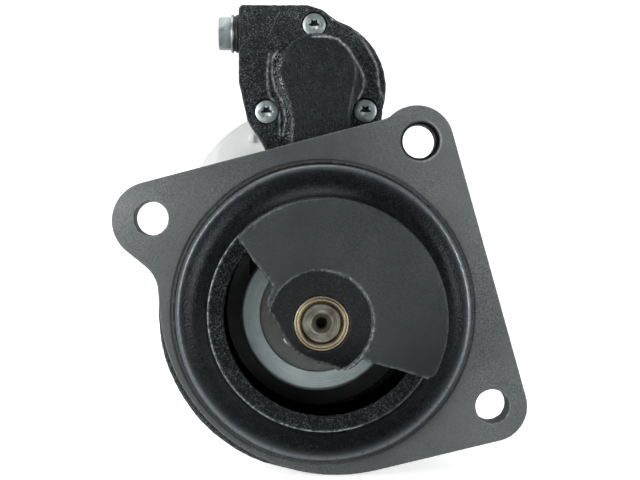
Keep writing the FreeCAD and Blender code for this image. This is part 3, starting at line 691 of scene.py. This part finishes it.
# tone: base brightness of the paint, with painted light, shade and highlights laid over it where
# marked
tone = layered(
    0.0072,
    (flange, 0.066 * painted_flange_light),
    (flange_edge, 0.022),
    # painted light: the front corner lighter at the lower left
    (front_corner, (0.060 + 0.045 * ((x < 20) & (z < 0))) * painted_flange_light),
    # painted shade: the walls of the flange holes darkened
    (in_holes, 0.006),
    (spigot, 0.007),
    # painted shade: the nose face darker towards the lower right
    (nose, 0.0200 - 0.0150 * slope(x - z, 20, 70)),
    (spot_face, 0.0095 - 0.0060 * spot_shade),
    (lip, 0.0040 + 0.085 * painted_lip_highlight),
    (foot, 0.064 * painted_flange_light),
    # painted shade: the corner at the spigot's foot darkened
    (inner_corner, 0.006),
    (nose_side, 0.006),
    (back_pad, 0.10),
    (rim_face, 0.004),
    (bulge_face, 0.0065),
    # painted shade: the inside of the housing nearly black
    (inside, 0.0006),
    (tower_skin, 0.0048)) + 0.014 * glint_band
# gloss: specular level
gloss = layered(
    0.45,
    (flange, 0.55),
    (front_corner, 0.55),
    (in_holes, 0.25),
    (nose, 0.36 - 0.08 * slope(x - z, 30, 50)),
    (spot_face, 0.13 - 0.08 * spot_shade),
    (lip, 0.11 + 0.95 * painted_lip_highlight),
    (foot, 0.5),
    (inner_corner, 0.10),
    (spigot & ~foot, 0.14),
    (rim_face, 0.12),
    (inside, 0.0),
    (bulge_face, 0.18),
    (tower_skin, 0.29))
# share of the grit given painted glints
painted_glint_share = layered(
    0.20, (tower, 0.27), (bulge_face, 0.05), (lip, 0.04), (bead | spigot | groove, 0.0),
    (nose_side, 0.15), (rim_face, 0.13), (spot_face, 0.03), (nose, 0.0), (flange, 0.015),
    (front_corner, 0.0), (in_holes, 0.0), (inside, 0.0))
painted_glint_share = np.maximum(painted_glint_share, 1.6 * glint_band)
# bare-metal wear and painted edge highlight on convex edges, with its own amounts on the nose
nose_edge_wear_and_highlight = scaled(
    slope(curvature, 0.28, 0.73) * 0.34,
    ((radius > 41.5) & (y < -43), 0.30),
    (near(radius, BORE_R, 1.6), 0.25),
    (from_shaft < 12.5, 0.0),
    ((away(0, 34) < 26) & (x < -14) & (y < -40), 2.2))
tower_left = tower & between(x, -26, -4) & (z < 112) & (y < 45) & (away(-24, 100) < 26)
edge_wear_and_highlight = scaled(slope(curvature, 0.30, 0.85) * 0.55, (tower, 0.75), (tower_left, 0.10))
edge_wear_and_highlight = scaled(
    layered(edge_wear_and_highlight, (y < -17, nose_edge_wear_and_highlight)),
    (bead | spigot | groove, 0.12),
    (between(y, -0.8, 1.2) & between(radius, 57, 61), 0.3),
    (inside, 0.0),
    (y > 57.2, 0.4))
# painted highlight lines on one side of the spot face's edge, the hole mouths and the rim
spot_edge = near(away(-2.1, -0.8), 18.4, 0.38) & (y < -44.4) & ((x > -2) | (z < -8))
painted_highlight = np.maximum(painted_highlight, 0.30 * spot_edge)
for hx, hz, mouth_radius in HOLES:
    mouth = bell(away(hx, hz) - mouth_radius, 0.33) * between(y, -0.4, 0.9)
    turn = np.arctan2(z - hz, x - hx)
    painted_highlight = np.maximum(painted_highlight, 0.55 * mouth * np.clip(0.35 + np.cos(turn + 0.3), 0, 1))
rim_edge = near(radius, 44.2, 0.5) & between(y, -18.8, -17.2) & (x < 14)
painted_highlight = np.maximum(painted_highlight, 0.7 * rim_edge)

FIELDS = {"machined": machined, "grain": grain, "tone": soften(tone), "gloss": soften(gloss),
          "painted_glint_share": soften(painted_glint_share), "edge_wear_and_highlight": edge_wear_and_highlight, "painted_highlight": painted_highlight}
for name, values in FIELDS.items():
    attribute = housing.data.attributes.new(name, "FLOAT", "POINT")
    attribute.data.foreach_set("value", values.astype(np.float32))
dress(housing, "black_casting", "housing", "drive_end_housing", smooth=60)

# ---------------------------------------------------------------- turned pieces: (radius, y)
BUSH = [
    (7.55, -34.0), (7.55, -44.4), (8.15, -45.25), (8.75, -45.25), (8.95, -44.75),
    (9.15, -45.25), (9.55, -45.25), (9.85, -44.85), (9.85, -34.0)]
CLUTCH_COVER = [
    (22.6, 5.7), (22.9, 5.5), (29.2, 5.5), (30.1, 5.9), (30.4, 6.8), (30.4, 33.0),
    (28.9, 33.0), (28.9, 7.0), (22.6, 7.0)]
CLUTCH_WASHER = [(15.3, 7.1), (28.8, 7.1), (28.8, 8.6), (15.3, 8.6)]
lathe("nose_bush_turned", "nose_bush", BUSH, "bronze", "housing", rounding=0.1, segments=192)
lathe("clutch_cover_pressed", "clutch_cover", CLUTCH_COVER, "clutch_zinc", "drive",
      rounding=0.25, segments=192)
lathe("clutch_washer_turned", "clutch_washer", CLUTCH_WASHER, "clutch_steel", "drive",
      rounding=0.15, segments=160)

# ---------------------------------------------------------------- bevelled copies of CAD pieces
BEVEL_WIDTH = {
    "yoke": 0.5, "commutator_end_housing": 0.8, "solenoid_case": 0.35, "solenoid_cap": 0.6,
    "rear_cap": 0.4, "rear_support_bracket": 0.7, "pole_screws": 0.3, "solenoid_screws": 0.09,
    "earth_bolt": 0.35, "earth_washers": 0.18, "through_bolts": 0.4,
    "through_bolt_washers": 0.2, "terminal_nuts": 0.5, "terminal_washers": 0.2,
    "solenoid_cap_screws": 0.25, "cap_screws": 0.2, "motor_lead": 0.5, "lead_grommet": 0.8,
    "pinion": 0.3, "shift_lever": 0.6, "lever_pivot_pin": 0.4, "plunger": 0.3,
    "guide_ring": 0.3, "intermediate_plate": 0.3, "commutator": 0.2, "sleeve_snap_ring": 0.2}
BEVEL_ANGLE = 32  # degrees; sharper edges are bevelled, softer ones shaded smooth
SCREW_HEADS = [(-2.5, 117.3), (-22.4, 80.9), (18.9, 81.3)]  # x, z
SOCKET_SPLIT = -0.2  # height of the cut between the painted shade above and the painted highlight below in each socket, from the head's centre
WASHER_SPLIT_X = -0.0364  # metres; washers to the right of it are dark


def bevelled(node, width):
    ob = copy_node(node, node + "_detailed")
    with editing(ob.data) as bm:
        bmesh.ops.dissolve_limit(bm, angle_limit=math.radians(0.6), verts=bm.verts,
                                 edges=bm.edges, use_dissolve_boundaries=False)
    bevel = ob.modifiers.new("bevel", "BEVEL")
    bevel.width = width * MM
    bevel.segments = 2
    bevel.limit_method = "ANGLE"
    bevel.angle_limit = math.radians(BEVEL_ANGLE)
    bevel.use_clamp_overlap = True
    apply_modifiers(ob)
    with editing(ob.data) as bm:
        bmesh.ops.remove_doubles(bm, verts=bm.verts, dist=1e-6)
        bmesh.ops.dissolve_degenerate(bm, dist=1e-7, edges=bm.edges)
        closed = all(len(edge.link_faces) == 2 for edge in bm.edges)
    if not closed:
        # the bevel tore the surface: keep the plain piece
        plain = copy_node(node, "plain")
        ob.data = plain.data
        bpy.data.objects.remove(plain)
    dress(ob, material_of(node), BODY[node], node, smooth=BEVEL_ANGLE)
    return ob


def colour_sockets(screws):
    """Painted shade in the screw-head sockets, with a painted highlight on the lower wall."""
    screws.data.materials.append(MATS["socket"])
    screws.data.materials.append(MATS["socket_painted_glint"])
    with editing(screws.data) as bm:
        for hx, hz in SCREW_HEADS:
            faces = []
            for face in bm.faces:
                centre = face.calc_center_median()
                if math.hypot(centre.x * 1000 - hx, centre.z * 1000 - hz) < 5.5:
                    faces.append(face)
            geometry = (faces + list({e for f in faces for e in f.edges})
                        + list({v for f in faces for v in f.verts}))
            bmesh.ops.bisect_plane(bm, geom=geometry, dist=1e-6, plane_no=(0, 0, 1),
                                   plane_co=(0, 0, (hz + SOCKET_SPLIT) * MM))
    for face in screws.data.polygons:
        c = face.center * 1000
        hx, hz = min(SCREW_HEADS, key=lambda head: math.hypot(c.x - head[0], c.z - head[1]))
        if 40.35 < c.y < 43.4 and math.hypot(c.x - hx, c.z - hz) < 2.5:
            face.material_index = 2 if c.z < hz + SOCKET_SPLIT else 1


for node, width in BEVEL_WIDTH.items():
    piece = bevelled(node, width)
    if node == "solenoid_screws":
        colour_sockets(piece)
    if node == "earth_washers":
        piece.data.materials.append(MATS["dark_plate"])
        for face in piece.data.polygons:
            face.material_index = 1 if face.center.x > WASHER_SPLIT_X else 0

# ---------------------------------------------------------------- threaded studs
STUD_SEGMENTS = 72
THREAD_START_Y = 143.1  # top of the plain foot
MAIN_STUD_OFFSET = 13.0  # of the two large studs, above and below the solenoid axis
TRIGGER_OFFSET, TRIGGER_ANGLE = 16.4, math.radians(200)


def stud(name, node, centre, radius, end_y, relief, pitch, material, foot_radius, foot_y):
    """A plain foot, then a helical thread with a plain relief groove from relief[0] to [1]."""
    step = pitch / 8
    ys = [THREAD_START_Y + k * step for k in range(int((end_y - THREAD_START_Y) / step) + 1)]
    depth = 0.54 * pitch

    def thread_radius(angle, y):
        if relief[0] <= y <= relief[1]:
            return radius - 0.55
        ridge = abs(2 * ((y / pitch - angle / (2 * math.pi)) % 1.0) - 1)
        taper = min(1.0, (y - THREAD_START_Y) / 1.0, (end_y - y) / 1.2)
        cut = depth * min(1.0, max(0.0, 1.35 * ridge - 0.2))
        return radius - cut - (1 - max(0.0, taper)) * 0.5

    angles = [2 * math.pi * k / STUD_SEGMENTS for k in range(STUD_SEGMENTS)]
    rings = [(y, [r] * STUD_SEGMENTS) for r, y in (
        (foot_radius, foot_y), (foot_radius, THREAD_START_Y), (radius - 0.5, THREAD_START_Y))]
    rings += [(y, [thread_radius(angle, y) for angle in angles]) for y in ys]
    verts = [(centre[0] * MM, foot_y * MM, centre[1] * MM)]
    for y, radii in rings:
        verts += ring(*centre, y, radii)
    tip = len(verts)
    verts.append((centre[0] * MM, ys[-1] * MM, centre[1] * MM))
    starts = [1 + i * STUD_SEGMENTS for i in range(len(rings))]
    faces = []
    for k in range(STUD_SEGMENTS):
        k2 = (k + 1) % STUD_SEGMENTS
        faces.append((0, starts[0] + k, starts[0] + k2))
        faces.append((tip, starts[-1] + k2, starts[-1] + k))
        for a, b in zip(starts[:-1], starts[1:]):
            faces.append((a + k, a + k2, b + k2, b + k))
    new_piece(name, verts, faces, material, "housing", node, smooth=40)


MAIN_STUD = dict(radius=4.95, pitch=1.5, material="copper", foot_radius=7.5, foot_y=139.0)
stud("battery_stud_threaded", "battery_terminal", (SOLENOID_X, SOLENOID_Z + MAIN_STUD_OFFSET),
     end_y=173.0, relief=(158.8, 159.8), **MAIN_STUD)
stud("motor_stud_threaded", "motor_terminal", (SOLENOID_X, SOLENOID_Z - MAIN_STUD_OFFSET),
     end_y=170.0, relief=(161.3, 162.3), **MAIN_STUD)
stud("trigger_stud_threaded", "trigger_terminal",
     (SOLENOID_X + TRIGGER_OFFSET * math.cos(TRIGGER_ANGLE),
      SOLENOID_Z + TRIGGER_OFFSET * math.sin(TRIGGER_ANGLE)),
     radius=2.45, end_y=161.0, relief=(154.8, 155.6), pitch=0.8, material="zinc_plate",
     foot_radius=3.6, foot_y=139.5)

# ---------------------------------------------------------------- return spring
spring = copy_node("plunger_spring", "plunger_spring_wire")
dress(spring, material_of("plunger_spring"), "housing", "plunger_spring", smooth=60)
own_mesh(spring)

# ---------------------------------------------------------------- materials of the CAD nodes
for node, ob in NODES.items():
    material = material_of(node)
    if material == "black_casting":
        material = "black_small"  # the casting paint needs the housing's fields
    ob.data.materials.clear()
    ob.data.materials.append(MATS[material])

# ---------------------------------------------------------------- floor (metres)
FLOOR_Z = cad_lo.z - 0.0006
FLOOR_HALF_WIDTH = 9.0
SWEEP = 0.9  # radius of the curve up into the back wall, and the y where it starts


def floor_material():
    m = Mat("floor_paper")
    colour = m.ramp(m.noise(scale=14, detail=4),
                    {0.3: (0.86, 0.865, 0.87), 0.7: (0.90, 0.905, 0.91)})
    # glows only when seen directly
    seen = m.add("LightPath").outputs["Is Camera Ray"]
    return m.finish(colour, rough=0.9, metal=0.0, Emission_Color=(1, 1, 1),
                    Emission_Strength=m.times(seen, 0.72))


floor_profile = [(-12.0, 0.0), (SWEEP, 0.0)]  # y, height
floor_profile += [(SWEEP + SWEEP * math.sin(t), SWEEP - SWEEP * math.cos(t))
                  for t in np.linspace(0.05, math.pi / 2, 24)]
floor_profile += [(2 * SWEEP, 3.6)]
row = len(floor_profile)
floor_mesh = bpy.data.meshes.new("floor")
floor_mesh.from_pydata(
    [(side, fy, FLOOR_Z + height) for side in (-FLOOR_HALF_WIDTH, FLOOR_HALF_WIDTH)
     for fy, height in floor_profile],
    [], [(i, i + 1, row + i + 1, row + i) for i in range(row - 1)])
for face in floor_mesh.polygons:
    face.use_smooth = True
floor = add_object("floor", floor_mesh)
floor_mesh.materials.append(floor_material())


# ---------------------------------------------------------------- lights and world (metres)
def facing(direction):
    return Vector(direction).to_track_quat("-Z", "Y").to_euler()


def area(name, place, target, width, height, power):
    light = bpy.data.lights.new(name, "AREA")
    light.shape = "RECTANGLE"
    light.size = width
    light.size_y = height
    light.energy = power
    ob = add_object(name, light)
    ob.location = place
    ob.rotation_euler = facing(Vector(target) - Vector(place))


area("left", (-0.62, -0.80, 0.10), target=(-0.02, 0, 0), width=0.45, height=0.7, power=10.5)
area("right", (0.72, -0.76, 0.02), target=(0.02, 0, 0), width=0.4, height=0.6, power=7.5)
area("top", (-0.15, 0.10, 1.15), target=(0, 0.05, 0), width=0.9, height=0.9, power=6.5)
area("rim", (-0.7, 0.9, 0.6), target=(0, 0.1, 0), width=0.8, height=0.8, power=4)

# soft fill for the light; seen directly, pale paper like the floor
FILL_STRENGTH, SEEN_STRENGTH = 0.27, 1.0
world = bpy.data.worlds.new("studio")
bpy.context.scene.world = world
world.use_nodes = True
tree = world.node_tree
background = tree.nodes["Background"]
background.inputs["Color"].default_value = (0.96, 0.98, 1.0, 1)
light_path = tree.nodes.new("ShaderNodeLightPath")
strength = tree.nodes.new("ShaderNodeMapRange")
strength.inputs["To Min"].default_value = FILL_STRENGTH
strength.inputs["To Max"].default_value = SEEN_STRENGTH
tree.links.new(light_path.outputs["Is Camera Ray"], strength.inputs["Value"])
tree.links.new(strength.outputs["Result"], background.inputs["Strength"])

# ---------------------------------------------------------------- camera
camera_data = bpy.data.cameras.new("camera")
camera_data.lens = 75.4
camera_data.sensor_width = 36.0
camera_data.clip_start = 0.02
camera_data.clip_end = 20
camera = add_object("camera", camera_data)
camera.location = [value * MM for value in EYE]
camera.rotation_euler = facing((0.02910448, 1.0, -0.01343284))
scene = bpy.context.scene
scene.camera = camera
scene.view_settings.view_transform = "Standard"
scene.view_settings.look = "None"
